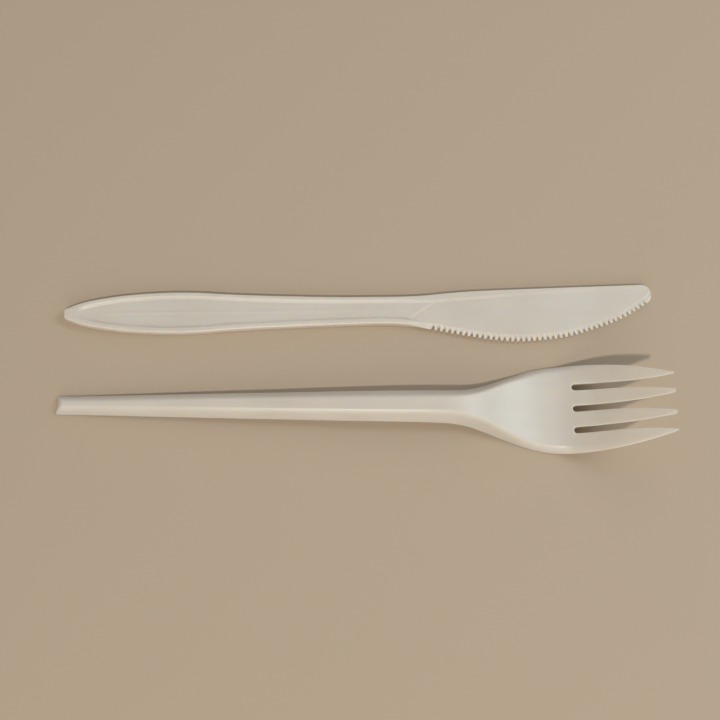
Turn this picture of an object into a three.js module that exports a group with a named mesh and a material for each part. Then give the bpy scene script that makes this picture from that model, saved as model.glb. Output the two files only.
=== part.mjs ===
// A disposable knife and fork, lying side by side on a table. Each is one moulding of ivory plastic.
// Millimetres, +Z up, the table at z = 0. +X runs from the handle ends to the blade tip and the tines,
// +Y from the fork to the knife. Each piece is drawn in its own plan first: u runs along it from the
// handle end and v across it. Every plan point gets a top and a bottom height, as a straight-pull
// moulding allows, and the edges of the plan become the side walls.
import * as THREE from 'three';

// Where each piece lies: the middle of its handle end, and how far it is turned from +X.
const KNIFE_PLACE = { x: -80.97, y: 10.5, degrees: 2.25 };
const FORK_PLACE = { x: -81.54, y: -14.43, degrees: 0.38 };

const IVORY = { color: 0xe6dfd0, roughness: 0.42, metalness: 0 };

// Knife, along its length
const HANDLE_LENGTH = 80;        // both edges of the handle mirror each other up to here
const RECESS_START = 4.4;        // the handle end is solid up to here
const RIB_START = 10;            // the fine middle rib of the handle
const RIB_END = 96;
const RIM_FADE_START = 94;       // the near rim sinks into the cutting edge
const BLADE_START = 100.55;        // the first tooth
const THROAT_NEAR = 93.7;        // the handle recess ends on a slant, from here at the near edge
const THROAT_FAR = 104.4;        // to here at the spine
const THROAT_RUN = 1.5;          // length of the small step down from the recess to the blade
// Knife, across its width and thickness
const RIM_HALF = 1.4;            // half the knife's thickness at the rims, which lie on the table
const RIM_WIDTH = 1.1;
const RIM_SLOPE = 0.5;
const WEB_THICKNESS = 1.8;
const RIB_HEIGHT = 0.06;
const RIB_HALF_WIDTH = 0.5;
const BLADE_THICKNESS = 1.4;
const EDGE_THICKNESS = 0.44;
const BEVEL_WIDTH = 1.6;
const SPINE_BAND_WIDTH = 1.6;    // the raised band along the back of the blade, narrower at the tip
const SPINE_BAND_AT_TIP = 0.9;
const SPINE_HALF = 1.1;
const SPINE_HALF_AT_TIP = 0.78;
const TOOTH_COUNT = 42;
const TOOTH_DEPTH = 1.05;
const TIP_CENTRE = new THREE.Vector2(163.3, 4.1);
const TIP_RADIUS = 2.95;
const TIP_NEAR = -57;            // degrees on the tip circle where the teeth end
const TIP_FAR = 93;              // and where the spine ends
const TIP_MIDDLE = 20;           // the last two points stand this far either side of here
const TIP_SPREAD = 22;
const TIP_STEPS = 4;

// Fork
const FORK_LENGTH = 164.7;
const END_RUN = 1.3;             // the drafted wall at the handle end
const SLOT_ROOT = 141.45;        // centre of the round root of each slot
const SLOT_RADIUS = 0.88;
const SLOT_CENTRE = 6.05;        // the outer slots' distance from the middle
const ROOT_STEPS = 6;
const WEB = 1.2;                 // wall of the handle channel
const SKIRT_WALL = 1.0;          // width of the skirt's lower edge
const CREASE_ROUND = 0.5;

// A smooth curve through the given [station, value] pairs.
function through(...pairs) {
  const curve = new THREE.CubicInterpolant(pairs.map((p) => p[0]), pairs.map((p) => p[1]), 1);
  return (station) => curve.evaluate(station)[0];
}

const { clamp, lerp, smoothstep } = THREE.MathUtils;

// One plan point with its two heights.
const spot = (u, v, top, bottom) => ({ u, v, top, bottom });

// A moulding grows from plan triangles. Points at the same place are one point.
class Moulding {
  constructor() {
    this.spots = [];
    this.faces = [];
    this.places = new Map();
  }

  index(point) {
    const key = `${point.u.toFixed(3)} ${point.v.toFixed(3)}`;
    if (!this.places.has(key)) {
      this.places.set(key, this.spots.length);
      this.spots.push(point);
    }
    return this.places.get(key);
  }

  face(a, b, c) {
    this.faces.push([this.index(a), this.index(b), this.index(c)]);
  }

  // Fills the strip between two columns of points that run towards +v. Both halves mirror each other.
  strip(left, right) {
    for (let row = 0; row + 1 < left.length; row += 1) {
      const [a, b, c, d] = [left[row], right[row], right[row + 1], left[row + 1]];
      if (a.v + d.v > 0) {
        this.face(a, b, d);
        this.face(b, c, d);
      } else {
        this.face(a, b, c);
        this.face(a, c, d);
      }
    }
  }

  // Fills the space between two points on the left and a curved column on the right.
  fan(low, high, curve) {
    const middle = Math.floor(curve.length / 2);
    for (let row = 0; row + 1 < curve.length; row += 1) {
      this.face(row < middle ? low : high, curve[row], curve[row + 1]);
    }
    this.face(low, curve[middle], high);
  }

  // Top faces, bottom faces, and a wall under every plan edge that only one face uses.
  geometry() {
    const count = this.spots.length;
    const tops = this.spots.flatMap((p) => [p.u, p.v, p.top]);
    const bottoms = this.spots.flatMap((p) => [p.u, p.v, p.bottom]);
    const edges = new Set(this.faces.flatMap(([a, b, c]) => [`${a} ${b}`, `${b} ${c}`, `${c} ${a}`]));
    const triangles = [];
    for (const [a, b, c] of this.faces) {
      triangles.push(a, b, c, count + c, count + b, count + a);
      for (const [from, to] of [[a, b], [b, c], [c, a]]) {
        if (!edges.has(`${to} ${from}`)) {
          triangles.push(count + from, count + to, to, count + from, to, from);
        }
      }
    }
    const geometry = new THREE.BufferGeometry();
    geometry.setAttribute('position', new THREE.Float32BufferAttribute([...tops, ...bottoms], 3));
    geometry.setIndex(triangles);
    geometry.computeVertexNormals();
    return geometry;
  }
}

function placed(name, moulding, place) {
  const mesh = new THREE.Mesh(moulding.geometry(), new THREE.MeshStandardMaterial(IVORY));
  mesh.name = name;
  mesh.position.set(place.x, place.y, 0);
  mesh.rotation.z = THREE.MathUtils.degToRad(place.degrees);
  return mesh;
}

// ---- knife ----

const handleHalfWidth = through(
  [0, 1.15], [4.3, 2.9], [9.7, 4.12], [15.3, 4.95], [21, 5.45], [28, 5.76], [35, 5.72],
  [42, 5.28], [53, 4.7], [65, 4.28], [77, 4], [88, 3.97],
);
const spineLine = through(
  [77, 4], [88, 3.97], [94, 4.02], [100, 4.35], [106.5, 5], [114, 5.5], [125, 5.9], [148, 6.6],
  [163.15, 7.05],
);
const bellyLine = through([77, -4], [88, -3.85], [95, -4.35], [BLADE_START, -5.38], [106, -6.5]);

const cuttingEdge = new THREE.SplineCurve([
  [BLADE_START, -5.38], [109, -7.13], [117.5, -8.62], [125, -9.34], [132, -9.13], [140, -8.21],
  [148, -6.17], [155, -3.8], [160.3, -1.23], [164.91, 1.63],
].map(([u, v]) => new THREE.Vector2(u, v)));

const onTip = (degrees) => {
  const angle = THREE.MathUtils.degToRad(degrees);
  return new THREE.Vector2(Math.cos(angle), Math.sin(angle)).multiplyScalar(TIP_RADIUS).add(TIP_CENTRE);
};

// A column runs from the near edge to the far edge, and leaves the near edge square to it. Its rows are
// the near edge, the top and foot of the near rim (on the blade, the inside of the ground bevel), the
// rib's foot, crest and foot, the foot and top of the far rim, and the far edge.
function knifeColumn(near, far, inward) {
  const length = near.distanceTo(far);
  const station = near.x;
  const onBlade = smoothstep(station, RIM_FADE_START, BLADE_START);
  const widest = length * 0.3;
  const rimWidth = Math.min(RIM_WIDTH, widest);
  const rimSlope = RIM_SLOPE * rimWidth / RIM_WIDTH;
  const spineBand = lerp(SPINE_BAND_WIDTH, SPINE_BAND_AT_TIP, smoothstep(station, BLADE_START, TIP_CENTRE.x));
  const nearTop = Math.min(lerp(rimWidth, BEVEL_WIDTH, onBlade), widest);
  const nearFoot = nearTop + rimSlope;
  const farTop = length - Math.min(lerp(rimWidth, spineBand, onBlade), widest);
  const farFoot = farTop - rimSlope;
  const middle = (nearFoot + farFoot) / 2;
  const quarter = (farFoot - nearFoot) / 4;
  const ribFoot = lerp(Math.min(RIB_HALF_WIDTH, quarter), quarter, onBlade);

  const recess = smoothstep(station, RECESS_START, RECESS_START + 2 * RIM_SLOPE);
  const ribFaded = smoothstep(station, RIB_END - 2, RIB_END);
  const onRib = smoothstep(station, RIB_START - 4, RIB_START) * (1 - ribFaded);
  const floorAt = (distance, crest = 0) => {
    const slant = lerp(THROAT_NEAR, THROAT_FAR, distance / length);
    const beyond = smoothstep(station, slant - THROAT_RUN / 2, slant + THROAT_RUN / 2);
    return lerp(RIM_HALF, lerp(WEB_THICKNESS, BLADE_THICKNESS, beyond) / 2 + crest, recess);
  };
  const spine = lerp(SPINE_HALF, SPINE_HALF_AT_TIP, smoothstep(station, BLADE_START, TIP_CENTRE.x));
  const farRim = lerp(RIM_HALF, spine, smoothstep(station, RIM_FADE_START, THROAT_FAR));
  const rows = [
    [0, lerp(RIM_HALF, EDGE_THICKNESS / 2, onBlade)],
    [nearTop, lerp(RIM_HALF, BLADE_THICKNESS / 2, onBlade)],
    [nearFoot, floorAt(nearFoot)],
    [middle - ribFoot, floorAt(middle - ribFoot)],
    [middle, floorAt(middle, RIB_HEIGHT * onRib)],
    [middle + ribFoot, floorAt(middle + ribFoot)],
    [farFoot, floorAt(farFoot)],
    [farTop, farRim],
    [length, farRim],
  ];
  const foot = near.clone().addScaledVector(inward, nearFoot);
  return rows.map(([distance, half]) => {
    const past = Math.max(distance - nearFoot, 0) / (length - nearFoot);
    const at = near.clone().addScaledVector(inward, Math.min(distance, nearFoot));
    at.addScaledVector(far.clone().sub(foot), past);
    return spot(at.x, at.y, RIM_HALF + half, RIM_HALF - half);
  });
}

function knife() {
  const handleStations = [
    0, 1.2, RECESS_START, RECESS_START + 1, 8, 11, 15, 20, 26, 32, 38, 45, 54, 65, 77, 86, 92, 94, 96, 98,
  ];
  const columns = handleStations.map((u) => {
    const near = new THREE.Vector2(u, u < HANDLE_LENGTH ? -handleHalfWidth(u) : bellyLine(u));
    const far = new THREE.Vector2(u, u < HANDLE_LENGTH ? handleHalfWidth(u) : spineLine(u));
    return knifeColumn(near, far, new THREE.Vector2(0, 1));
  });
  // Tooth tips lie on the cutting edge, and each gullet between two of them is cut in square to it.
  const steps = TOOTH_COUNT * 2;
  for (let step = 0; step <= steps; step += 1) {
    const near = cuttingEdge.getPointAt(step / steps);
    const tangent = cuttingEdge.getTangentAt(step / steps);
    const inward = new THREE.Vector2(-tangent.y, tangent.x);
    const spineU = lerp(BLADE_START, onTip(TIP_FAR).x, step / steps);
    const column = knifeColumn(near, new THREE.Vector2(spineU, spineLine(spineU)), inward);
    if (step % 2 === 1) {
      column[0].u += inward.x * TOOTH_DEPTH;
      column[0].v += inward.y * TOOTH_DEPTH;
    }
    columns.push(column);
  }
  // The round tip: the columns close in on its middle, and the last one follows the circle.
  for (let step = 1; step <= TIP_STEPS; step += 1) {
    const nearDegrees = lerp(TIP_NEAR, TIP_MIDDLE - TIP_SPREAD, step / TIP_STEPS);
    const farDegrees = lerp(TIP_FAR, TIP_MIDDLE + TIP_SPREAD, step / TIP_STEPS);
    const near = onTip(nearDegrees);
    const column = knifeColumn(near, onTip(farDegrees), TIP_CENTRE.clone().sub(near).normalize());
    if (step === TIP_STEPS) {
      column.forEach((point, row) => {
        const round = onTip(lerp(nearDegrees, farDegrees, row / (column.length - 1)));
        point.u = round.x;
        point.v = round.y;
      });
    }
    columns.push(column);
  }
  const moulding = new Moulding();
  columns.slice(1).forEach((column, i) => moulding.strip(columns[i], column));
  return placed('knife', moulding, KNIFE_PLACE);
}

// ---- fork ----

const outerHalf = through(
  [0, 2.5], [9, 2.6], [25, 2.94], [51, 3.5], [92, 4.28], [103.3, 4.5], [108.8, 4.85], [112.3, 5.45],
  [118.3, 7.35], [124.3, 9.5], [130.3, 11.35], [136.3, 12.22], [141.3, 12.33], [148.9, 11.75], [157.7, 10.05],
  [162.1, 8.8], [FORK_LENGTH, 7.95],
);
const webHalf = through(
  [0, 1.22], [9, 1.28], [51, 1.83], [91, 2.32], [103.3, 2.5], [108.3, 2.8], [113.7, 4.0], [119.6, 6.45],
  [125.7, 8.75], [131.5, 10.25], [140.3, 10.95], [148.9, 10.85], [157.7, 9.55], [162.1, 8.5],
  [FORK_LENGTH, 7.8],
);
const undersideLine = through(
  [0, 0], [9, 0.45], [25, 1.25], [51, 2.55], [70, 3.5], [92, 4.6], [101.3, 4.6], [106.3, 4],
  [110.3, 2.8], [114.3, 1.5], [118.3, 0.6], [122.3, 0.12], [127.3, 0], [134.3, 0], [138.3, 0.6],
  [SLOT_ROOT, 2.1], [145.3, 4.2], [148.9, 6.5], [153.3, 9.2], [157.7, 11.7], [162.1, 14.2],
  [FORK_LENGTH, 15.65],
);
const webLine = through(
  [0, 2.7], [9, 3.24], [25, 4.2], [51, 5.78], [70, 6.93], [91, 8.2], [99.3, 8.75], [104.3, 8.9],
  [108.3, 8.6], [111.3, 7.95], [114.3, 7], [118.3, 5.5], [122.3, 4.2], [126.3, 3.25], [130.3, 2.65],
  [134.3, 2.5], [138.3, 2.95], [SLOT_ROOT, 4.1], [145.3, 5.85], [148.9, 8], [153.3, 10.65],
  [157.7, 13.1], [162.1, 15.45], [FORK_LENGTH, 16.75],
);
const landHeight = through(
  [0, 0.4], [103.3, 0.4], [122.3, 0.55], [134.3, 0.85], [SLOT_ROOT, 1.25], [150.3, 1.3], [158.3, 1.3],
  [FORK_LENGTH, 1.05],
);
const outerSlotFar = through(
  [SLOT_ROOT, SLOT_CENTRE + SLOT_RADIUS], [148.7, 6.7], [155.7, 6.6], [161.3, 7], [FORK_LENGTH, 7.45],
);
const outerSlotNear = through(
  [SLOT_ROOT, SLOT_CENTRE - SLOT_RADIUS], [148.7, 4.98], [155.7, 4.6], [161.3, 3.95], [FORK_LENGTH, 3.5],
);
const middleSlotEdge = through(
  [SLOT_ROOT, SLOT_RADIUS], [148.7, 0.84], [155.7, 1.12], [161.3, 1.75], [FORK_LENGTH, 2.3],
);

// How far a value has gone past zero, rounded over the given distance on both sides.
function past(value, round) {
  const rounded = clamp(value + round, 0, 2 * round);
  return rounded * rounded / (4 * round) + Math.max(value - round, 0);
}

// The heights at a plan point of the fork: a flat web with flanks that slope down to the skirt.
function forkSpot(u, v) {
  const outer = outerHalf(u);
  const web = webHalf(u);
  const low = Math.max(undersideLine(u), 0);
  const depth = webLine(u) - low;
  const land = Math.min(landHeight(u), depth);
  const slope = (depth - land) / Math.max(outer - web, 0.05);
  const beyond = Math.max(Math.abs(v) - web, (END_RUN - u) * (outer - web) / END_RUN);
  const top = low + Math.max(depth - slope * past(beyond, CREASE_ROUND), land);
  const wall = Math.min(WEB + 0.3 * smoothstep(u, 125, SLOT_ROOT), depth);
  const inner = outer - SKIRT_WALL - (depth - wall) / Math.max(slope, 0.3);
  const hollow = Math.max(Math.abs(v) - inner, (END_RUN + SKIRT_WALL - u) * (outer - inner) / END_RUN);
  const ceiling = depth - Math.min(wall, depth - land + 0.5 * land);
  const bottom = low + clamp(ceiling - Math.max(slope, 0.3) * past(hollow, CREASE_ROUND), 0, ceiling);
  return spot(u, v, top, bottom);
}

function fork() {
  const moulding = new Moulding();
  // Rows from the middle out: slot edges, then the crease, the flank and the skirt.
  const slotRows = [SLOT_RADIUS, SLOT_CENTRE - SLOT_RADIUS, SLOT_CENTRE + SLOT_RADIUS];
  const crease = webHalf(SLOT_ROOT);
  const bodyColumn = (u) => {
    const web = webHalf(u);
    const outer = outerHalf(u);
    const half = slotRows.map((row) => row * web / crease);
    half.push(lerp(half[2], web, 0.85), lerp(web, outer, 0.3));
    half.push(Math.max(outer - SKIRT_WALL, lerp(web, outer, 0.5)), outer);
    return [...half.map((v) => -v).reverse(), ...half].map((v) => forkSpot(u, v));
  };
  const stations = [
    0, END_RUN * 0.5, END_RUN * 0.7, END_RUN, END_RUN + SKIRT_WALL, 3.4, 12, 25, 38, 51, 64, 77, 88, 95, 100,
    103.7, 106.7, 109.2, 111.7, 114.2, 116.7, 119.2, 121.7, 124.2, 126.7, 129.2, 131.7, 134.2, 136.7, 138.8,
  ];
  const columns = [...stations, SLOT_ROOT].map(bodyColumn);
  columns.slice(1, -1).forEach((column, i) => moulding.strip(columns[i], column));

  // The last body column is split at the slots. Each slot band ends in its round root.
  const before = columns.at(-2);
  const root = columns.at(-1);
  const slotStarts = [4, 6, 8];
  const solidRuns = [[0, 4], [5, 6], [7, 8], [9, 13]];
  for (const [from, to] of solidRuns) {
    moulding.strip(before.slice(from, to + 1), root.slice(from, to + 1));
  }
  for (const start of slotStarts) {
    const centre = (root[start].v + root[start + 1].v) / 2;
    const curve = Array.from({ length: ROOT_STEPS + 1 }, (_, step) => {
      const angle = Math.PI * step / ROOT_STEPS;
      return forkSpot(SLOT_ROOT - SLOT_RADIUS * Math.sin(angle), centre - SLOT_RADIUS * Math.cos(angle));
    });
    moulding.fan(before[start], before[start + 1], curve);
  }

  // Four tines. The outer two keep the flank rows of the body.
  const tineStations = [
    SLOT_ROOT, 143.7, 146.2, 148.7, 151.2, 153.7, 156.2, 158.7, 161.2, 163.2, 164.3, FORK_LENGTH,
  ];
  const tineColumns = (low, high, rows) => tineStations.map((u) => {
    const blunt = u === FORK_LENGTH ? 0.25 : 0;
    const from = lerp(low(u), high(u), blunt);
    const to = lerp(low(u), high(u), 1 - blunt);
    return rows.map((share) => forkSpot(u, lerp(from, to, share)));
  });
  const share = (index) => (root[index].v - root[9].v) / (root[13].v - root[9].v);
  const outerRows = [9, 10, 11, 12, 13].map(share);
  const tines = [
    [outerSlotFar, outerHalf, outerRows],
    [middleSlotEdge, outerSlotNear, [0, 1]],
    [(u) => -outerSlotNear(u), (u) => -middleSlotEdge(u), [0, 1]],
    [(u) => -outerHalf(u), (u) => -outerSlotFar(u), outerRows.map((row) => 1 - row).reverse()],
  ];
  for (const [low, high, rows] of tines) {
    const tine = tineColumns(low, high, rows);
    tine.slice(1).forEach((column, i) => moulding.strip(tine[i], column));
  }
  return placed('fork', moulding, FORK_PLACE);
}

// The origin is the middle of the pair's footprint, on the table.
const pair = new THREE.Group();
pair.add(knife(), fork());
const middle = new THREE.Box3().setFromObject(pair, true).getCenter(new THREE.Vector3());
pair.position.set(-middle.x, -middle.y, 0);

export default pair;
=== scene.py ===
# %% [markdown]
# # A disposable knife and fork in ivory plastic
#
# Both pieces are injection mouldings: a steel mould in two halves is filled with molten plastic and opens
# straight up and down. So every point of a piece, seen from above, has one top height and one bottom height.
# That rule drives the whole lesson. Each piece is drawn as a fine net of plan points, the net is pressed up
# into a top and a bottom skin, and the two skins are joined by a narrow wall along the outline.
#
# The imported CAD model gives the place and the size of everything. It is loaded first and stays untouched.

import math

import bmesh
import bpy
from mathutils import Matrix, Vector


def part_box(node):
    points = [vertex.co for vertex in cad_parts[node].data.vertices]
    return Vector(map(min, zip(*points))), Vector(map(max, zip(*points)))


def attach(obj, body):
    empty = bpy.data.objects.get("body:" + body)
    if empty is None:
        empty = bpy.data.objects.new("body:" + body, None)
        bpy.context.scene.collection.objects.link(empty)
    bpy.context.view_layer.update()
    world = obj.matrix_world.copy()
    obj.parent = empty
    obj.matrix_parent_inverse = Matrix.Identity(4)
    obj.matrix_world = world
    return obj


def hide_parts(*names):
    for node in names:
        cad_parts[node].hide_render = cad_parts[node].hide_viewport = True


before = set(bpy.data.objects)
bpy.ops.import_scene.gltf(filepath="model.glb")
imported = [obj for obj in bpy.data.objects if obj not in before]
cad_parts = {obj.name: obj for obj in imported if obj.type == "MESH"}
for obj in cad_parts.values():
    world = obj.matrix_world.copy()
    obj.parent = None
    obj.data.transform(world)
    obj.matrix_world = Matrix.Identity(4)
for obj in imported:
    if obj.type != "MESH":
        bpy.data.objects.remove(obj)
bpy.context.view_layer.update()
print("CAD nodes:", sorted(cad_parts))

MM = 0.001

# %% [markdown]
# ## Smooth lines through a few points
#
# A moulded outline has no corners between its end and its tip, so a handful of stations is enough to say
# where it runs. A natural cubic spline does the rest: it bends like a thin strip of wood held at those
# stations, so its slope and its curvature run on smoothly. Light on glossy plastic would show any break.

# %% Curves through stations
def lerp(a, b, t):
    return a + (b - a) * t


def clamp(x, low=0.0, high=1.0):
    return min(max(x, low), high)


def smooth(x, start, end):
    t = clamp((x - start) / (end - start))
    return t * t * (3 - 2 * t)


class Line:
    """A smooth function of the station u through the given (u, value) pairs."""

    def __init__(self, *pairs):
        self.u = [float(p[0]) for p in pairs]
        self.y = [float(p[1]) for p in pairs]
        last = len(pairs) - 1
        # The bend (second derivative) at each station, from one sweep down the stations and one back.
        factor, carried = [0.0] * (last + 1), [0.0] * (last + 1)
        for i in range(1, last):
            left, right = self.u[i] - self.u[i - 1], self.u[i + 1] - self.u[i]
            turn = (self.y[i + 1] - self.y[i]) / right - (self.y[i] - self.y[i - 1]) / left
            pivot = 2 * (left + right) - left * factor[i - 1]
            factor[i] = right / pivot
            carried[i] = (6 * turn - left * carried[i - 1]) / pivot
        self.bend = [0.0] * (last + 1)
        for i in range(last - 1, 0, -1):
            self.bend[i] = carried[i] - factor[i] * self.bend[i + 1]

    def __call__(self, u):
        u = clamp(u, self.u[0], self.u[-1])
        i = max(k for k in range(len(self.u) - 1) if self.u[k] <= u or k == 0)
        width = self.u[i + 1] - self.u[i]
        b = (u - self.u[i]) / width
        a = 1 - b
        curve = (a**3 - a) * self.bend[i] + (b**3 - b) * self.bend[i + 1]
        return a * self.y[i] + b * self.y[i + 1] + curve * width * width / 6


def spread(start, end, step):
    """Stations from start to end, evenly spaced and at most step apart."""
    count = max(1, math.ceil((end - start) / step - 1e-6))
    return [lerp(start, end, k / count) for k in range(count + 1)]


print("halfway between two stations:", round(Line((0, 0), (2, 2), (4, 2))(1), 3))

# %% [markdown]
# ## Rounded edges
#
# Nothing that leaves a mould has a knife-sharp rim. A small round-over catches a thin line of light along
# every edge, and that line is most of what makes thin plastic look like plastic. A round-over is a quarter
# circle, so the surface drops by the amount below as a point comes near the edge. Two distances are used,
# one across and one along, so that square corners get a rounded corner too.

# %% The drop of a round-over
LIP = (0.0, 0.03, 0.08, 0.15, 0.24, 0.35)  # distances from an edge at which the net has a line, in mm


def round_over(radius, across, along=1e9):
    near = max(radius - across, 0.0)
    far = max(radius - along, 0.0)
    reach = min(math.hypot(near, far), radius)
    return radius - math.sqrt(radius * radius - reach * reach)


print("drop at the edge:", round_over(0.3, 0.0), " drop inside:", round_over(0.3, 0.3))

# %% [markdown]
# ## A net of plan points
#
# The net keeps its points by place, so two strips that meet share the points on their common line. `strip`
# fills between two columns of points, `press` makes the closed solid: the top skin, the bottom skin with its
# faces turned round, and a wall below every edge that only one face uses. The wall bulges by a hair at
# half height, where the two halves of the mould meet and leave their parting line.

# %% The net
PARTING_BULGE = 0.035
PLACES_PER_MM = 2000  # points that share such a place are one point


class Net:
    def __init__(self, heights):
        self.heights = heights  # a function of (u, v, hint) that gives (top, bottom)
        self.points, self.tops, self.bottoms, self.extra = [], [], [], []
        self.faces = []
        self.places = {}

    def point(self, u, v, hint=None, extra=None):
        key = (round(u * PLACES_PER_MM), round(v * PLACES_PER_MM))
        if key not in self.places:
            top, bottom = self.heights(u, v, hint)
            self.places[key] = len(self.points)
            self.points.append((u, v))
            self.tops.append(top)
            self.bottoms.append(bottom)
            self.extra.append(extra)
        return self.places[key]

    def column(self, pairs):
        return [self.point(u, v) for u, v in pairs]

    def strip(self, left, right):
        for k in range(len(left) - 1):
            ring = []
            for index in (left[k], right[k], right[k + 1], left[k + 1]):
                if index not in ring:
                    ring.append(index)
            if len(ring) > 2:
                self.faces.append(tuple(ring))

    def rim(self, mirrored=False):
        """The directed edges that only one face uses, without those on a mirrored net's middle line."""
        used = {}
        for face in self.faces:
            for a, b in zip(face, face[1:] + face[:1]):
                used[(a, b)] = True
        edges = [(a, b) for a, b in used if (b, a) not in used]
        if mirrored:
            edges = [(a, b) for a, b in edges if self.points[a][1] or self.points[b][1]]
        return edges

    def press(self, name, mirrored=False):
        count = len(self.points)
        verts = [(u, v, z) for (u, v), z in zip(self.points, self.tops)]
        verts += [(u, v, z) for (u, v), z in zip(self.points, self.bottoms)]
        faces = list(self.faces) + [tuple(count + i for i in reversed(face)) for face in self.faces]
        rim = self.rim(mirrored)
        outward = {}
        for a, b in rim:
            along = Vector(self.points[b]) - Vector(self.points[a])
            side = Vector((along.y, -along.x)).normalized()
            for index in (a, b):
                outward[index] = outward.get(index, Vector((0.0, 0.0))) + side
        middle = {}
        for index, side in outward.items():
            u, v = self.points[index]
            if mirrored and v == 0:
                side.y = 0.0
            bulge = side.normalized() * PARTING_BULGE
            middle[index] = len(verts)
            verts.append((u + bulge.x, v + bulge.y, (self.tops[index] + self.bottoms[index]) / 2))
        for a, b in rim:
            faces.append((b, a, middle[a], middle[b]))
            faces.append((middle[b], middle[a], count + a, count + b))
        mesh = bpy.data.meshes.new(name)
        mesh.from_pydata([(x * MM, y * MM, z * MM) for x, y, z in verts], [], faces)
        mesh.validate()
        return mesh, middle


square = Net(lambda u, v, hint: (1.0, 0.0))
square.strip(square.column([(0, 0), (0, 1)]), square.column([(1, 0), (1, 1)]))
print("a square net has", len(square.rim()), "open edges")

# %% [markdown]
# ## The knife's outline
#
# The handle is a long leaf, the same on both sides. Past the grip the back runs on almost straight, and the
# belly swings out into the cutting edge. The blade ends in a round tip, so that nobody gets hurt. All
# stations are in millimetres along the knife, from the end of its handle.

# %% Knife outline
HANDLE_LENGTH = 80  # both edges of the handle mirror each other up to here
BLADE_START, EDGE_END = 100.55, 164.91
TOOTH_COUNT, COLUMNS_PER_TOOTH = 42, 12
TIP_U, TIP_V, TIP_RADIUS = 163.3, 4.1, 2.95
TIP_NEAR, TIP_FAR = -57.0, 93.0  # degrees on the tip circle where the teeth and the back end
END_CORNER = 0.5

handle_half = Line(
    (0, 1.2), (4.3, 2.9), (9.7, 4.12), (15.3, 4.95), (21, 5.45), (28, 5.76), (35, 5.72),
    (42, 5.28), (53, 4.7), (65, 4.28), (77, 4.0), (88, 3.97),
)
back_line = Line(
    (77, 4), (88, 3.97), (94, 4.02), (100, 4.35), (106.5, 5), (114, 5.5), (125, 5.9),
    (148, 6.6), (163.15, 7.05),
)
belly_line = Line((77, -4), (88, -3.85), (95, -4.35), (BLADE_START, -5.38), (106, -6.5))
edge_line = Line(
    (BLADE_START, -5.38), (109, -7.13), (117.5, -8.62), (125, -9.34), (132, -9.13), (140, -8.21),
    (148, -6.17), (155, -3.8), (160.3, -1.23), (EDGE_END, 1.63),
)


def on_tip(degrees, radius=TIP_RADIUS):
    angle = math.radians(degrees)
    return Vector((TIP_U + radius * math.cos(angle), TIP_V + radius * math.sin(angle)))


def end_corner(u):
    """How far the rounded corner at a handle's end draws the outline in."""
    return END_CORNER - math.sqrt(max(END_CORNER**2 - max(END_CORNER - u, 0) ** 2, 0))


def walk(line, start, end, count):
    """count + 1 points at equal steps along the line, with the direction of travel at each."""
    fine = [Vector((u, line(u))) for u in spread(start, end, 0.05)]
    run = [0.0]
    for a, b in zip(fine, fine[1:]):
        run.append(run[-1] + (b - a).length)
    found, i = [], 0
    for k in range(count + 1):
        target = run[-1] * k / count
        while i < len(run) - 2 and run[i + 1] < target:
            i += 1
        share = (target - run[i]) / (run[i + 1] - run[i])
        found.append((fine[i].lerp(fine[i + 1], share), (fine[i + 1] - fine[i]).normalized()))
    return found, run[-1]


edge_points, edge_length = walk(edge_line, BLADE_START, EDGE_END, TOOTH_COUNT * COLUMNS_PER_TOOTH)
print("cutting edge:", round(edge_length, 1), "mm, tooth pitch:", round(edge_length / TOOTH_COUNT, 2), "mm")

# %% [markdown]
# ## The knife's section
#
# Both faces are alike. Along the handle two rims stand round a shallow recess, and a fine rib runs down its
# middle. This I-section is what keeps so little plastic stiff. A small disc where the mould's ejector pin
# pushed interrupts the rib. The recess ends in a slanted step of a fifth of a millimetre. From there the near
# rim thins out into the bevel behind the teeth, and the far rim runs on as a band along the back.

# %% Half the knife's thickness at a point
RIM_HALF = 1.4
NEAR_RIM, FAR_RIM, RIM_SLOPE = 1.1, 0.98, 0.95
WEB_HALF, BLADE_HALF, EDGE_HALF = 0.9, 0.7, 0.2
BEVEL = 1.6
RIM_FADE_START = 94  # from here the near rim sinks into the cutting edge
RIB_HEIGHT, RIB_CREST, RIB_FOOT = 0.06, 0.15, 0.6  # crest and foot are distances from the rib's middle
RIB_START, RIB_FULL, RIB_FADE, RIB_END = 8, 16, 93, 97
RECESS_START, RECESS_CORNER, RECESS_FADE = 2.6, 1.3, 0.35
PIN_U, PIN_V, PIN_RADIUS, PIN_SLOPE, PIN_DEPTH = 84.5, -0.2, 1.7, 0.25, 0.03
STEP_U, STEP_V, STEP_SLANT, STEP_RUN = 93.75, -3.08, 1.59, 0.7
EDGE_ROUND, BACK_ROUND_SHARE, TIP_ROUND = 0.35, 0.8, 0.2
TIP_EDGE_HALF = 0.3

spine_width = Line((RIM_FADE_START, FAR_RIM), (105, 1.7), (125, 1.35), (163, 0.9))
spine_half = Line((RIM_FADE_START, RIM_HALF), (104, 1.12), (125, 0.98), (163, 0.78))


def soft_min(values, radius):
    """The smallest value, with corners between two near values rounded off."""
    result = values[0]
    for value in values[1:]:
        h = max(radius - abs(result - value), 0.0) / radius
        result = min(result, value) - h * h * radius / 4
    return result


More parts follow.
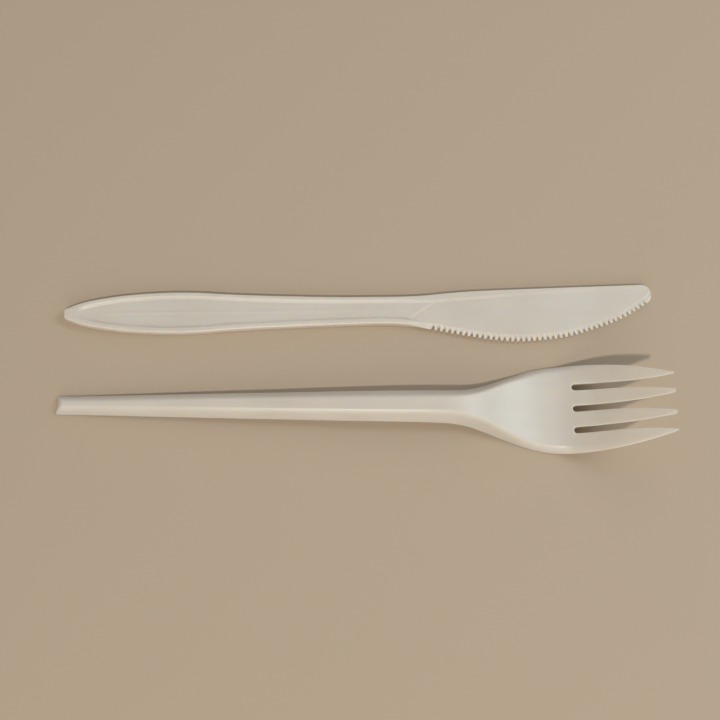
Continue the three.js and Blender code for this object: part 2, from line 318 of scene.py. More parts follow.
def knife_half(u, v, near, far):
    """Half thickness at plan point (u, v), near and far millimetres from the two edges."""
    on_blade = smooth(u, RIM_FADE_START, BLADE_START)
    far_width, far_half = spine_width(u), spine_half(u)
    step_at = STEP_U + (v - STEP_V) * STEP_SLANT
    floor = lerp(WEB_HALF, BLADE_HALF, smooth(u, step_at - STEP_RUN / 2, step_at + STEP_RUN / 2))
    pin = math.hypot(u - PIN_U, v - PIN_V)
    outside_pin = smooth(pin, PIN_RADIUS - PIN_SLOPE, PIN_RADIUS)
    along_rib = smooth(u, RIB_START, RIB_FULL) * (1 - smooth(u, RIB_FADE, RIB_END)) * outside_pin
    ribbed = RIB_HEIGHT * along_rib * (1 - smooth(abs((near - far) / 2), RIB_CREST, RIB_FOOT))
    floor += ribbed - PIN_DEPTH * (1 - outside_pin)
    # The rims round the recess, from its inside out.
    near_rise = lerp(RIM_HALF, BLADE_HALF, on_blade)
    near_width = lerp(NEAR_RIM, BEVEL - RIM_SLOPE, on_blade)
    past_end = (u - RECESS_START) * RECESS_FADE
    into = soft_min([near - near_width, far - far_width, past_end], RECESS_CORNER)
    rim = far_half if far < near else near_rise
    half = lerp(rim, floor, smooth(into, 0, RIM_SLOPE))
    bevel = lerp(EDGE_HALF, BLADE_HALF, clamp(near / BEVEL))
    half = min(half, lerp(half, bevel, on_blade)) if near < BEVEL else half
    drop = round_over(EDGE_ROUND, near, u) * (1 - on_blade)
    return half - max(drop, round_over(EDGE_ROUND * lerp(1, BACK_ROUND_SHARE, on_blade), far, u))


print("half thickness of rim:", knife_half(40, -5, 0.6, 10), "web:", knife_half(40, -2, 3, 7))
print("half thickness of blade:", knife_half(130, 0, 8, 6))

# %% [markdown]
# ## The knife's net
#
# A column of points crosses the knife from the near edge to the far one. Its lines crowd together where the
# section turns: at the round-overs, on the slopes of the rims, and on the rib. On the blade a column leaves
# the cutting edge square to it, twelve columns to a tooth, which the next step needs. Each point also notes
# how far along the edge it is and how near to it, because the teeth will be cut from those two numbers.

# %% Build the knife's net
FULL_WIDTH = 7.4  # a column narrower than this has its lines drawn together
SQUARE_RUN, SQUARE_SHARE = 2.2, 0.3  # how far a column stays square to the near edge
SLOPE_LINES = (-0.1, 0.08, 0.27, 0.46, 0.65, 0.84, 1.1)  # the net's lines down a rim's slope, in mm


def near_offsets(width):
    """Distances from an edge of the lines over a rim of this width and down its slope."""
    return [*LIP, width * 0.5, width * 0.8, *(width + d for d in SLOPE_LINES)]


def rows_across(width, u):
    """Distances from the near edge of every line that crosses a column of this width."""
    on_blade = smooth(u, RIM_FADE_START, BLADE_START)
    scale = min(1.0, width / FULL_WIDTH)
    low = [d * scale for d in near_offsets(lerp(NEAR_RIM, BEVEL - 0.1, on_blade))]
    high = [width - d * scale for d in near_offsets(spine_width(u))][::-1]
    start, end = low[-1], high[0]
    middle, half = width / 2, (end - start) / 2
    rib = [-0.75, -0.6, -0.45, -0.3, -0.15, 0.0, 0.15, 0.3, 0.45, 0.6, 0.75]
    sides = [start + (middle - 0.75 * scale - start) * k / 4 for k in (1, 2, 3)]
    ribbed = sides + [middle + d * scale for d in rib] + [start + end - x for x in reversed(sides)]
    even = [start + 2 * half * (k + 1) / (len(ribbed) + 1) for k in range(len(ribbed))]
    return low + [lerp(a, b, on_blade) for a, b in zip(ribbed, even)] + high


def knife_column(net, near, far, inward, run, bow=None):
    """Adds one column. run is its place along the cutting edge, or None off the teeth."""
    width = (far - near).length
    square_part = min(SQUARE_RUN, width * SQUARE_SHARE)
    foot = near + inward * square_part
    column = []
    for distance in rows_across(width, near.x):
        if distance <= square_part:
            at = near + inward * distance
        else:
            at = foot.lerp(far, (distance - square_part) / (width - square_part))
        if bow is not None:
            at = bow(at, distance / width)
        reach = 0.0 if run is None else clamp(1 - distance / BEVEL)
        extra = ((run or 0.0) * MM, reach, inward.copy())
        column.append(net.point(at.x, at.y, (distance, width - distance), extra))
    return column


def knife_heights(u, v, hint):
    near, far = hint
    tip = TIP_RADIUS - math.hypot(u - TIP_U, v - TIP_V) if u > TIP_U else 1e9
    half = knife_half(u, v, near, far)
    if tip < TIP_ROUND:
        half -= round_over(TIP_ROUND, max(tip, 0.0))
    half = max(half, TIP_EDGE_HALF if u > TIP_U else EDGE_HALF)
    return RIM_HALF + half, RIM_HALF - half


knife_net = Net(knife_heights)
columns = []
handle_stations = [*LIP, 0.5, 0.7, 1.0]
handle_stations += spread(1.0, 14, 0.5)[1:] + spread(14, 82, 1.1)[1:] + spread(82, 87, 0.22)[1:]
handle_stations += spread(87, 91, 0.5)[1:] + spread(91, BLADE_START, 0.22)[1:-1]
for u in handle_stations:
    corner = end_corner(u)
    near_v = -handle_half(u) + corner if u < HANDLE_LENGTH else belly_line(u)
    far_v = handle_half(u) - corner if u < HANDLE_LENGTH else back_line(u)
    columns.append(knife_column(knife_net, Vector((u, near_v)), Vector((u, far_v)), Vector((0, 1)), None))
back_end = on_tip(TIP_FAR).x
for k, (near, along) in enumerate(edge_points):
    share = k / (len(edge_points) - 1)
    back_u = lerp(BLADE_START, back_end, share)
    far = Vector((back_u, back_line(back_u)))
    columns.append(knife_column(knife_net, near, far, Vector((-along.y, along.x)), edge_length * share))
print("columns so far:", len(columns), "with", len(columns[0]), "lines")

# %% [markdown]
# ## The round tip
#
# Past the last tooth the columns close in on the middle of the tip circle. They bend more and more, until the
# last one lies on the circle itself. That keeps tidy four-sided faces all the way round the tip.

# %% Close the knife at its tip
TIP_MIDDLE = 20.0
# Half the angle that each column spans, and how far it has bent on to the circle.
TIP_SPANS = (68, 61, 54, 48, 43, 38, 34, 31, 28.5, 26.5, 25, 23.7, 22.7, 22)
TIP_BOWS = (0, 0, 0, 0, 0.06, 0.2, 0.36, 0.52, 0.66, 0.78, 0.87, 0.94, 0.98, 1)
FULL_SPAN = (TIP_FAR - TIP_NEAR) / 2
for span, bow_share in zip(TIP_SPANS, TIP_BOWS):
    closing = (FULL_SPAN - span) / (FULL_SPAN - TIP_SPANS[-1])
    centre = lerp((TIP_FAR + TIP_NEAR) / 2, TIP_MIDDLE, closing)
    near, far = on_tip(centre - span), on_tip(centre + span)

    def bow(at, share, centre=centre, span=span, bow_share=bow_share):
        return at.lerp(on_tip(lerp(centre - span, centre + span, share)), bow_share)

    to_centre = (Vector((TIP_U, TIP_V)) - near).normalized()
    inward = to_centre.lerp((far - near).normalized(), closing).normalized()
    columns.append(knife_column(knife_net, near, far, inward, None, bow))
for left, right in zip(columns, columns[1:]):
    knife_net.strip(left, right)
knife_mesh, knife_middle = knife_net.press("knife_blank")
print("knife blank:", len(knife_mesh.vertices), "points", len(knife_mesh.polygons), "faces")

# %% [markdown]
# ## Writing node trees as sentences
#
# Every tree from here on, for shapes and for finishes, is written with two small helpers. A `Board` adds a
# node from its type, its settings and the values of its sockets. A `Wire` is one output of a node, and the
# usual signs work on it, so `1 - mask` or `a * 0.5 + b` adds the Math nodes that say the same.

# %% Board and Wire
class Wire:
    def __init__(self, board, socket):
        self.board, self.socket = board, socket

    def _math(self, operation, *values):
        node = self.board.add("ShaderNodeMath", {"operation": operation}, dict(enumerate(values)))
        return Wire(self.board, node.outputs[0])

    def __add__(self, other):
        return self._math("ADD", self, other)

    def __sub__(self, other):
        return self._math("SUBTRACT", self, other)

    def __rsub__(self, other):
        return self._math("SUBTRACT", other, self)

    def __mul__(self, other):
        return self._math("MULTIPLY", self, other)

    def __truediv__(self, other):
        return self._math("DIVIDE", self, other)

    def __rtruediv__(self, other):
        return self._math("DIVIDE", other, self)

    def __abs__(self):
        return self._math("ABSOLUTE", self)

    __radd__, __rmul__ = __add__, __mul__

    def fraction(self):
        return self._math("FRACT", self)

    def at_least(self, other):
        return self._math("MAXIMUM", self, other)

    def step(self, start, end):
        """Runs smoothly from 0 to 1 as this value goes from start to end."""
        node = self.board.add(
            "ShaderNodeMapRange",
            {"interpolation_type": "SMOOTHSTEP"},
            {"Value": self, "From Min": start, "From Max": end, "To Min": 0.0, "To Max": 1.0},
        )
        return Wire(self.board, node.outputs[0])


class Board:
    def __init__(self, tree):
        self.tree = tree
        self.count = 0

    def add(self, kind, settings=None, sockets=None):
        node = self.tree.nodes.new(kind)
        node.location = (220 * (self.count % 12), -260 * (self.count // 12))
        self.count += 1
        for name, value in (settings or {}).items():
            if name == "stops":
                ramp = node.color_ramp
                while len(ramp.elements) < len(value):
                    ramp.elements.new(1.0)
                for element, (place, colour) in zip(ramp.elements, value):
                    element.position, element.color = place, colour
            else:
                setattr(node, name, value)
        for name, value in (sockets or {}).items():
            socket = node.inputs[name]
            if isinstance(value, Wire):
                self.tree.links.new(value.socket, socket)
            else:
                socket.default_value = value
        return node

    def wire(self, kind, settings=None, sockets=None, output=0):
        return Wire(self, self.add(kind, settings, sockets).outputs[output])


def geometry_tree(name, inputs):
    """An empty geometry tree with the given (name, socket type, default) inputs."""
    tree = bpy.data.node_groups.new(name, "GeometryNodeTree")
    tree.interface.new_socket("Geometry", in_out="INPUT", socket_type="NodeSocketGeometry")
    for label, kind, default in inputs:
        socket = tree.interface.new_socket(label, in_out="INPUT", socket_type=kind)
        if default is not None:
            socket.default_value = default
    tree.interface.new_socket("Geometry", in_out="OUTPUT", socket_type="NodeSocketGeometry")
    board = Board(tree)
    start = board.add("NodeGroupInput")
    given = {socket.name: Wire(board, socket) for socket in start.outputs if socket.name}
    return tree, board, given


def finish_tree(board, geometry, material):
    whole = board.wire("GeometryNodeRealizeInstances", None, {"Geometry": geometry})
    painted = board.wire("GeometryNodeSetMaterial", None, {"Geometry": whole, "Material": material})
    end = board.add("NodeGroupOutput")
    board.tree.links.new(painted.socket, end.inputs["Geometry"])


def grown(name, mesh, tree, values):
    """Runs a geometry tree on a mesh, with input values by name, and gives the result as a plain mesh."""
    holder = bpy.data.objects.new(name + "_source", mesh)
    bpy.context.scene.collection.objects.link(holder)
    modifier = holder.modifiers.new("tree", "NODES")
    modifier.node_group = tree
    for item in tree.interface.items_tree:
        if item.in_out == "INPUT" and item.name in values:
            modifier[item.identifier] = values[item.name]
    graph = bpy.context.evaluated_depsgraph_get()
    result = bpy.data.meshes.new_from_object(holder.evaluated_get(graph), depsgraph=graph)
    holder.modifiers.remove(modifier)
    bpy.data.objects.remove(holder)
    result.name = name
    return result


print("helpers for node trees are ready")

# %% [markdown]
# ## Ivory plastic
#
# Both pieces come from the same granulate, so they share one material. It is a creamy, slightly see-through
# plastic: light goes in a little way and comes out warmer, which softens every shadow on it. Close up the
# colour isn't quite even. The melt leaves pale flow streaks along the piece, dull and shiny patches lie side
# by side, and the mould's own finish gives a fine satin grain. A few hairline scuffs come from being packed
# with hundreds of others. All of it is laid out in the object's own space, so it stays put from every side.

# %% The plastic
def ivory_plastic():
    material = bpy.data.materials.new("ivory_plastic")
    material.use_nodes = True
    board = Board(material.node_tree)
    board.tree.nodes.clear()
    place = board.wire("ShaderNodeTexCoord", output="Object")

    def noise(scale, detail, rough, stretch=None):
        at = place
        if stretch:
            at = board.wire("ShaderNodeMapping", None, {"Vector": place, "Scale": stretch})
        return board.wire(
            "ShaderNodeTexNoise", None,
            {"Vector": at, "Scale": scale, "Detail": detail, "Roughness": rough}, "Fac",
        )

    clouds = noise(55, 3, 0.55)
    flow = noise(260, 3, 0.6, (0.16, 1, 1))
    grain = noise(5200, 2, 0.6)
    pores = noise(1700, 2, 0.5)
    mix = clouds * 0.6 + flow * 0.4
    colour = board.wire(
        "ShaderNodeValToRGB",
        {"stops": [
            (0.3, (0.700, 0.636, 0.540, 1)),
            (0.5, (0.738, 0.676, 0.586, 1)),
            (0.7, (0.762, 0.706, 0.624, 1)),
        ]},
        {"Fac": mix},
    )
    # Scuffs: the thin lines where a stretched noise crosses its middle value.
    scuff_a = 1 - abs(noise(420, 2, 0.4, (0.05, 1, 1)) - 0.5).step(0.0, 0.012)
    scuff_b = 1 - abs(noise(300, 1, 0.4, (1, 0.08, 1)) - 0.47).step(0.0, 0.008)
    scuffs = scuff_a.at_least(scuff_b) * clouds.step(0.5, 0.68)
    roughness = 0.36 + (clouds - 0.5) * 0.16 + (grain - 0.5) * 0.1 + scuffs * 0.1
    height = grain * 0.30 + pores * 0.45 + flow * 1.6 + clouds * 5 - scuffs * 0.5
    bump = board.wire("ShaderNodeBump", None, {"Strength": 0.5, "Distance": 0.00006, "Height": height})
    shader = board.wire(
        "ShaderNodeBsdfPrincipled",
        {"subsurface_method": "RANDOM_WALK"},
        {
            "Base Color": colour,
            "Roughness": roughness,
            "Normal": bump,
            "IOR": 1.49,
            "Subsurface Weight": 1.0,
            "Subsurface Radius": (1.0, 0.72, 0.45),
            "Subsurface Scale": 0.0016,
            "Coat Weight": 0.06,
            "Coat Roughness": 0.25,
        },
    )
    end = board.add("ShaderNodeOutputMaterial")
    board.tree.links.new(shader.socket, end.inputs["Surface"])
    return material


ivory = ivory_plastic()
print("plastic nodes:", len(ivory.node_tree.nodes))

# %% [markdown]
# ## Cut the teeth
#
# The teeth are one rule repeated: along the edge a rounded wave goes in and out, and every line of the net
# near the edge follows it, less and less, up to the inside of the bevel. A geometry tree is the right tool,
# because the pitch and the depth stay open as named inputs. It reads the three notes that the net left on its
# points: the way along the edge, the nearness to it, and the direction square to it.

# %% Tooth tree
TOOTH_DEPTH = 0.95
GULLET_END, CREST_START = 0.14, 0.7  # shares of half a pitch, from the middle of a gullet


def tooth_tree():
    tree, board, given = geometry_tree("teeth", [
        ("Pitch", "NodeSocketFloat", 0.0016),
        ("Depth", "NodeSocketFloat", 0.001),
        ("Gullet End", "NodeSocketFloat", GULLET_END),
        ("Crest Start", "NodeSocketFloat", CREST_START),
        ("Material", "NodeSocketMaterial", None),
    ])

    def note(name, kind):
        return board.wire("GeometryNodeInputNamedAttribute", {"data_type": kind}, {"Name": name})

    from_gullet = abs((note("edge_run", "FLOAT") / given["Pitch"]).fraction() * 2 - 1)
    wave = 1 - from_gullet.step(given["Gullet End"], given["Crest Start"])
    inset = wave * given["Depth"] * note("edge_reach", "FLOAT")
    offset = board.wire(
        "ShaderNodeVectorMath", {"operation": "SCALE"},
        {0: note("edge_inward", "FLOAT_VECTOR"), "Scale": inset},
    )
    cut = board.wire("GeometryNodeSetPosition", None, {"Geometry": given["Geometry"], "Offset": offset})
    finish_tree(board, cut, given["Material"])
    return tree


def note_edge(mesh, net, middle):
    """Writes each point's run, reach and inward direction on the pressed mesh."""
    order = list(range(len(net.points))) * 2 + list(middle)
    run = mesh.attributes.new("edge_run", "FLOAT", "POINT")
    reach = mesh.attributes.new("edge_reach", "FLOAT", "POINT")
    inward = mesh.attributes.new("edge_inward", "FLOAT_VECTOR", "POINT")
    for k, index in enumerate(order):
        run.data[k].value = net.extra[index][0]
        reach.data[k].value = net.extra[index][1]
        inward.data[k].vector = (*net.extra[index][2], 0.0)


note_edge(knife_mesh, knife_net, knife_middle)
knife_shape = grown("knife_moulding", knife_mesh, tooth_tree(), {
    "Pitch": edge_length / TOOTH_COUNT * MM,
    "Depth": TOOTH_DEPTH * MM,
    "Gullet End": GULLET_END,
    "Crest Start": CREST_START,
    "Material": ivory,
})
print("knife moulding:", len(knife_shape.polygons), "faces,", TOOTH_COUNT, "teeth")

# %% [markdown]
# ## The fork's lines
#
# Seen from the side a fork is a bridge: the handle rises from its end, dives at the neck to the table, and
# the tines sweep up again. Seen from above it is a slim bar that opens into a head with four tines. Only one
# half is drawn, because the other mirrors it.

# %% Fork lines
FORK_LENGTH = 164.7
END_RUN = 1.3
SLOT_ROOT, SLOT_RADIUS, SLOT_CENTRE = 141.45, 0.88, 6.05
INNER_TIP, OUTER_TIP = 0.5, 0.4  # length of a tine's round tip

outer_line = Line(
    (0, 2.5), (9, 2.6), (25, 2.94), (51, 3.5), (92, 4.28), (103.3, 4.5), (108.8, 4.85), (112.3, 5.45),
    (118.3, 7.35), (124.3, 9.5), (130.3, 11.35), (136.3, 12.22), (141.3, 12.33), (148.9, 11.75),
    (157.7, 10.05), (162.1, 8.8), (FORK_LENGTH, 7.95),
)
web_line = Line(
    (0, 1.22), (9, 1.28), (51, 1.83), (91, 2.32), (103.3, 2.5), (108.3, 2.8), (113.7, 4.0), (119.6, 6.45),
    (125.7, 8.75), (131.5, 10.25), (140.3, 10.95), (148.9, 10.85), (157.7, 9.55), (162.1, 8.5),
    (FORK_LENGTH, 7.8),
)
underside_line = Line(
    (0, 0), (9, 0.45), (25, 1.25), (51, 2.55), (70, 3.5), (92, 4.6), (101.3, 4.6), (106.3, 4),
    (110.3, 2.8), (114.3, 1.5), (118.3, 0.6), (122.3, 0.12), (127.3, 0), (134.3, 0), (138.3, 0.6),
    (SLOT_ROOT, 2.1), (145.3, 4.2), (148.9, 6.5), (153.3, 9.2), (157.7, 11.7), (162.1, 14.2),
    (FORK_LENGTH, 15.65),
)
top_line = Line(
    (0, 2.7), (9, 3.24), (25, 4.2), (51, 5.78), (70, 6.93), (91, 8.2), (99.3, 8.75), (104.3, 8.9),
    (108.3, 8.6), (111.3, 7.95), (114.3, 7), (118.3, 5.5), (122.3, 4.2), (126.3, 3.25), (130.3, 2.65),
    (134.3, 2.5), (138.3, 2.95), (SLOT_ROOT, 4.1), (145.3, 5.85), (148.9, 8), (153.3, 10.65),
    (157.7, 13.1), (162.1, 15.45), (FORK_LENGTH, 16.75),
)
land_line = Line(
    (0, 0.45), (103.3, 0.45), (122.3, 0.55), (134.3, 0.85), (SLOT_ROOT, 1.25), (150.3, 1.3), (158.3, 1.3),
    (FORK_LENGTH, 1.05),
)
slot_far = Line(
    (SLOT_ROOT, SLOT_CENTRE + SLOT_RADIUS), (148.7, 6.7), (155.7, 6.6), (161.3, 7), (FORK_LENGTH, 7.45),
)
slot_near = Line(
    (SLOT_ROOT, SLOT_CENTRE - SLOT_RADIUS), (148.7, 4.98), (155.7, 4.6), (161.3, 3.95), (FORK_LENGTH, 3.5),
)
slot_middle = Line((SLOT_ROOT, SLOT_RADIUS), (148.7, 0.84), (155.7, 1.12), (161.3, 1.75), (FORK_LENGTH, 2.3))


def tine_sides(inner, u):
    """The two sides of the inner or the outer tine, which close in a round tip."""
    low, high = (slot_middle(u), slot_near(u)) if inner else (slot_far(u), outer_line(u))
    run = INNER_TIP if inner else OUTER_TIP
    closing = clamp((u - FORK_LENGTH + run) / run)
    half = (high - low) / 2 * math.sqrt(1 - closing * closing)
    return (low + high) / 2 - half, (low + high) / 2 + half


print("handle rises to", round(top_line(104), 1), "mm, tine tips to", top_line(FORK_LENGTH), "mm")

# %% [markdown]
# ## The fork's section
#
# The handle is a channel, open below: a flat web on top, and flanks that slope down to a thin skirt. That
# makes it stiff for its weight. The crease between web and flank is rounded, and so is its inside. Towards
# the tines the flanks shrink away and leave a solid bar.

# %% The fork's heights
WEB, SKIRT_WALL, CREASE_ROUND = 1.2, 1.0, 0.9
TOP_ROUND, BOTTOM_ROUND = 0.3, 0.14
CORNER_BLEND = 0.5
HEAD_EXTRA_WALL = 0.3


def past(value, radius):
    """How far a value has gone past zero, rounded over the radius on both sides."""
    rounded = clamp(value + radius, 0, 2 * radius)
    return rounded * rounded / (4 * radius) + max(value - radius, 0.0)


def edge_distance(u, v):
    if u < SLOT_ROOT - 1e-6:
        corner = end_corner(u)
        to_slots = min(math.hypot(u - SLOT_ROOT, v - c) for c in (0.0, SLOT_CENTRE)) - SLOT_RADIUS
        return max(min(outer_line(u) - corner - v, to_slots), 0.0)
    low, high = tine_sides(v < SLOT_CENTRE, u)
    return max(min(v - low, high - v), 0.0)


def fork_heights(u, v, hint=None):
    outer, web, low = outer_line(u), web_line(u), max(underside_line(u), 0.0)
    depth = top_line(u) - low
    land = min(land_line(u), depth)
    slope = (depth - land) / max(outer - web, 0.05)
    end_share = (outer - web) / END_RUN
    beyond = -soft_min([web - v, (u - END_RUN) * end_share], CORNER_BLEND)
    top = low + max(depth - slope * past(beyond, CREASE_ROUND), land)
    wall = min(WEB + HEAD_EXTRA_WALL * smooth(u, 125, SLOT_ROOT), depth)
    steep = max(slope, 0.3)
    inner = outer - SKIRT_WALL - (depth - wall) / steep
    past_wall = (u - END_RUN - SKIRT_WALL) * (outer - inner) / (END_RUN + SKIRT_WALL)
    hollow = -soft_min([inner - v, past_wall], CORNER_BLEND)
    ceiling = depth - min(wall, depth - land / 2)
    bottom = low + clamp(ceiling - steep * past(hollow, CREASE_ROUND), 0, ceiling)
    across, along = edge_distance(u, v), min(u, FORK_LENGTH - u)
    room = top - bottom
    top -= round_over(min(TOP_ROUND, room * 0.6), across, along)
    bottom += round_over(min(BOTTOM_ROUND, room * 0.3), across, along)
    return top, bottom


print("channel at mid handle:", [round(z, 2) for z in fork_heights(60, 0)])
print("skirt at mid handle:", [round(z, 2) for z in fork_heights(60, 3.6)])

# %% [markdown]
# ## The fork's net
#
# Lines run the length of the fork and crowd at the crease and at the edges. Round the root of each slot the
# square net turns into rings that hug the round root, like the rings of a target cut in half. Each tine then
# carries its own lines to its tip.

# %% Build half of the fork
RINGS = (*LIP, 0.475, 0.6)
BOX_START = 138.95
CREASE_REACH = 0.6  # the net is fine this far on both sides of the crease
web_at_root = web_line(SLOT_ROOT) - CREASE_REACH


def between(start, end, count):
    return [lerp(start, end, k / count) for k in range(1, count)]


box_top = SLOT_RADIUS + RINGS[-1]
box_low, box_high = SLOT_CENTRE - box_top, SLOT_CENTRE + box_top
web_rows = [0.0, *between(0, box_top, 5), box_top, *between(box_top, box_low, 6), box_low]
ROW_MIDDLE, ROW_LOW = 5, 11
web_rows += [*between(box_low, box_high, 8), box_high, *between(box_high, web_at_root, 5), web_at_root]
ROW_HIGH = 19


def body_column(u):
    web, outer = web_line(u), outer_line(u) - end_corner(u)
    rows = [a / web_at_root * (web - CREASE_REACH) for a in web_rows]
    rows += [web + c for c in (-0.4, -0.2, 0, 0.2, 0.4, CREASE_REACH)]
    rows += between(web + CREASE_REACH, outer - LIP[-1], 4)
    rows += [outer - d for d in reversed(LIP)]
    return [(u, v) for v in rows]


fork_net = Net(fork_heights)
stations = list(LIP) + [0.5, 0.7, 0.9, 1.1, 1.3, 1.5, 1.8, 2.2, 2.7] + spread(3.3, 96, 1.2)
stations += spread(96, BOX_START, 0.7)[1:]
columns = [fork_net.column(body_column(u)) for u in stations]
for left, right in zip(columns, columns[1:]):
    fork_net.strip(left, right)

# Beside the slot roots only the lines between the rings' boxes go on.
box_columns = [body_column(u) for u in spread(BOX_START, SLOT_ROOT, 0.32)]
for start, end in ((ROW_MIDDLE, ROW_LOW), (ROW_HIGH, None)):
    for left, right in zip(box_columns, box_columns[1:]):
        rows = slice(start, None if end is None else end + 1)
        fork_net.strip(fork_net.column(left[rows]), fork_net.column(right[rows]))


def root_rings(centre, border):
    """Rings between a slot's round root and the border points around it."""
    ladders = []
    for u, v in border:
        out = Vector((u - SLOT_ROOT, v - centre))
        on_root = out.normalized() * SLOT_RADIUS
        room = (out - on_root).length
        steps = [d / room for d in LIP]
        steps += [lerp(steps[-1], 1.0, (RINGS[-2] - LIP[-1]) / (RINGS[-1] - LIP[-1])), 1.0]
        ladder = [on_root.lerp(out, t) for t in steps]
        ladders.append(fork_net.column([(SLOT_ROOT + p.x, centre + p.y) for p in ladder[:-1]] + [(u, v)]))
    for left, right in zip(ladders, ladders[1:]):
        fork_net.strip(left, right)


low_side = [column[ROW_LOW] for column in reversed(box_columns)]
high_side = [column[ROW_HIGH] for column in box_columns]
root_rings(SLOT_CENTRE, low_side + box_columns[0][ROW_LOW + 1 : ROW_HIGH] + high_side)
root_rings(0.0, box_columns[0][:ROW_MIDDLE] + [column[ROW_MIDDLE] for column in box_columns])
print("fork body and slot roots:", len(fork_net.points), "points")

# %% [markdown]
# A tine keeps the number of its lines from root to tip. Close to its sides they stay at a fixed distance, so
# that the round-over keeps its size, and between them they share out what is left.

# %% Tines
root_column = box_columns[-1]
tine_stations = spread(SLOT_ROOT, 163, 0.5) + spread(163, 164.2, 0.26)[1:]
tine_stations += [FORK_LENGTH - d for d in (0.41, 0.32, 0.24, 0.17, 0.11, 0.06, 0.03, 0.01, 0.0)]
for inner in (True, False):
    low, high = tine_sides(inner, SLOT_ROOT)
    if inner:
        middle = [v for u, v in root_column[ROW_MIDDLE + 1 : ROW_LOW]]
        high_offsets = RINGS
    else:
        middle = [v for u, v in root_column[ROW_HIGH + 1 : -len(LIP)]]
        high_offsets = LIP
    start, end = low + RINGS[-1], high - high_offsets[-1]
    shares = [(v - start) / (end - start) for v in middle]
    columns = []
    for u in tine_stations:
        low, high = tine_sides(inner, u)
        scale = min(1.0, (high - low) / 2.6)
        start, end = low + RINGS[-1] * scale, high - high_offsets[-1] * scale
        rows = [low + d * scale for d in RINGS]
        rows += [lerp(start, end, share) for share in shares]
        rows += [high - d * scale for d in reversed(high_offsets)]
        columns.append(fork_net.column([(u, v) for v in rows]))
    for left, right in zip(columns, columns[1:]):
        fork_net.strip(left, right)
half_mesh, _ = fork_net.press("fork_half", mirrored=True)
print("half a fork:", len(half_mesh.vertices), "points", len(half_mesh.polygons), "faces")

# %% [markdown]
# ## Mirror the half
#
# A geometry tree adds the mirror image, turns its faces the right way round again and closes the seam on the
# middle line. The closing distance is its named input.

# %% Mirror tree
CLOSING_DISTANCE = 0.000002


def mirror_tree():
    tree, board, given = geometry_tree("mirrored_half", [
        ("Closing Distance", "NodeSocketFloat", CLOSING_DISTANCE),
        ("Material", "NodeSocketMaterial", None),
    ])
    other = board.wire(
        "GeometryNodeTransform", None, {"Geometry": given["Geometry"], "Scale": (1.0, -1.0, 1.0)}
    )
    turned = board.wire("GeometryNodeFlipFaces", None, {"Mesh": other})
    both = board.add("GeometryNodeJoinGeometry")
    for half in (given["Geometry"], turned):
        board.tree.links.new(half.socket, both.inputs[0])
    closed = board.wire(
        "GeometryNodeMergeByDistance", None,
        {"Geometry": Wire(board, both.outputs[0]), "Distance": given["Closing Distance"]},
    )
    finish_tree(board, closed, given["Material"])
    return tree


fork_shape = grown("fork_moulding", half_mesh, mirror_tree(), {
    "Closing Distance": CLOSING_DISTANCE,
    "Material": ivory,
})
print("fork moulding:", len(fork_shape.polygons), "faces")

# %% [markdown]
# ## Lay the pieces in their places
#
# Each piece was drawn along its own middle line. It is turned as the CAD piece is, moved so that its box sits
# in the CAD piece's box, and set on the table. The turn and the move go into the mesh, and the object stays
# at the origin, so patterns on object coordinates keep their place. Faces that meet at a real corner, such as
# a tooth's flank, are kept apart in the shading, and all others run smoothly into each other.

# %% Place both pieces
KNIFE_TURN, FORK_TURN = 2.25, 0.38  # degrees from +X
SHARP = math.radians(38)


def closed_and_outward(mesh):
    work = bmesh.new()
    work.from_mesh(mesh)
    open_edges = sum(1 for edge in work.edges if not edge.is_manifold)
    volume = work.calc_volume(signed=True)
    work.free()
    return open_edges, volume * 1e9


def laid_out(name, node, mesh, degrees):
    mesh.transform(Matrix.Rotation(math.radians(degrees), 4, "Z"))
    low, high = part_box(node)
    own_low = Vector([min(v.co[k] for v in mesh.vertices) for k in range(3)])
    own_high = Vector([max(v.co[k] for v in mesh.vertices) for k in range(3)])
    shift = (low + high - own_low - own_high) / 2
    shift.z = low.z - own_low.z
    mesh.transform(Matrix.Translation(shift))
    mesh.polygons.foreach_set("use_smooth", [True] * len(mesh.polygons))
    mesh.set_sharp_from_angle(angle=SHARP)
    piece = bpy.data.objects.new(name, mesh)
    bpy.context.scene.collection.objects.link(piece)
    open_edges, volume = closed_and_outward(mesh)
    print(name, "size mm:", [round(x * 1000, 1) for x in own_high - own_low], "volume mm3:", round(volume),
          "open edges:", open_edges)
    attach(piece, "root")
    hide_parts(node)


laid_out("knife_piece", "knife", knife_shape, KNIFE_TURN)
laid_out("fork_piece", "fork", fork_shape, FORK_TURN)

# %% [markdown]
# ## Table and light
#
# The pieces lie on a plain pale table. The main light stands on the near side, high up, and is small enough
# to give the shadows a clear edge. A cool window on the right lays a sheen on the surfaces that lean towards
# it. Two broad low fills light the flanks on both sides, which the high light only grazes, and a little even
# light from all round keeps the shadows open.

# %% Table
def table_finish():
    material = bpy.data.materials.new("table")
    material.use_nodes = True
    board = Board(material.node_tree)
    board.tree.nodes.clear()
    shader = board.wire("ShaderNodeBsdfPrincipled", None, {
        "Base Color": (0.54, 0.425, 0.305, 1),
        "Roughness": 0.8,
        "Specular IOR Level": 0.2,
    })
    end = board.add("ShaderNodeOutputMaterial")
    board.tree.links.new(shader.socket, end.inputs["Surface"])
    return material


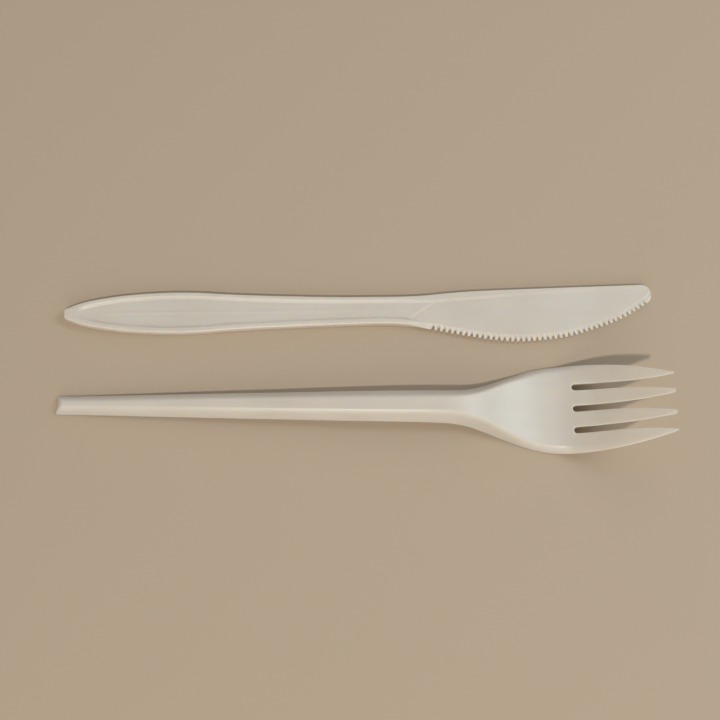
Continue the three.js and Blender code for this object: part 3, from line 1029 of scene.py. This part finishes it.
TABLE_HALF = 1.5
table_mesh = bpy.data.meshes.new("table")
corners = [(x * TABLE_HALF, y * TABLE_HALF, 0) for x, y in ((-1, -1), (1, -1), (1, 1), (-1, 1))]
table_mesh.from_pydata(corners, [], [(0, 1, 2, 3)])
table_mesh.materials.append(table_finish())
table = bpy.data.objects.new("table", table_mesh)
bpy.context.scene.collection.objects.link(table)
print("table:", 2 * TABLE_HALF, "m square")

# %% Lights
def lamp(name, towards, distance, size, watts, colour):
    data = bpy.data.lights.new(name, "AREA")
    data.shape, data.size = "DISK", size
    data.energy, data.color = watts, colour
    lamp_object = bpy.data.objects.new(name, data)
    direction = Vector(towards).normalized()
    lamp_object.location = direction * distance
    lamp_object.rotation_euler = direction.to_track_quat("Z", "Y").to_euler()
    bpy.context.scene.collection.objects.link(lamp_object)


lamp("main_light", (0.0, -0.466, 0.885), 1.6, 0.1, 10.0, (1.0, 0.955, 0.9))
lamp("window", (0.67, 0.2, 0.72), 0.9, 0.36, 2.2, (0.74, 0.88, 1.0))
lamp("near_fill", (0.0, -0.86, 0.5), 1.2, 0.9, 3.4, (1.0, 0.95, 0.88))
lamp("far_fill", (0.0, 0.8, 0.6), 1.2, 0.9, 2.0, (1.0, 0.97, 0.93))
world = bpy.data.worlds.new("room")
world.use_nodes = True
world.node_tree.nodes["Background"].inputs["Color"].default_value = (0.95, 0.97, 1.0, 1)
world.node_tree.nodes["Background"].inputs["Strength"].default_value = 0.15
bpy.context.scene.world = world
bpy.context.scene.view_settings.view_transform = "Standard"

# %% [markdown]
# ## Camera
#
# The camera looks down steeply from the near left, a good 25 cm away, and is rolled so that both pieces run
# nearly level across the picture.

# %% Camera
CAMERA_PLACE = (-0.023465, -0.059771, 0.243)
RIGHT, UP, BACK = (0.99602, 0.0, 0.08914), (-0.02153, 0.9704, 0.24056), (-0.0865, -0.24152, 0.96653)
camera_data = bpy.data.cameras.new("camera")
camera_data.lens, camera_data.sensor_width = 45.0, 36.0
camera = bpy.data.objects.new("camera", camera_data)
turn = Matrix((RIGHT, UP, BACK)).transposed().to_4x4()
camera.matrix_world = Matrix.Translation(CAMERA_PLACE) @ turn
bpy.context.scene.collection.objects.link(camera)
bpy.context.scene.camera = camera
print("camera height:", CAMERA_PLACE[2], "m")
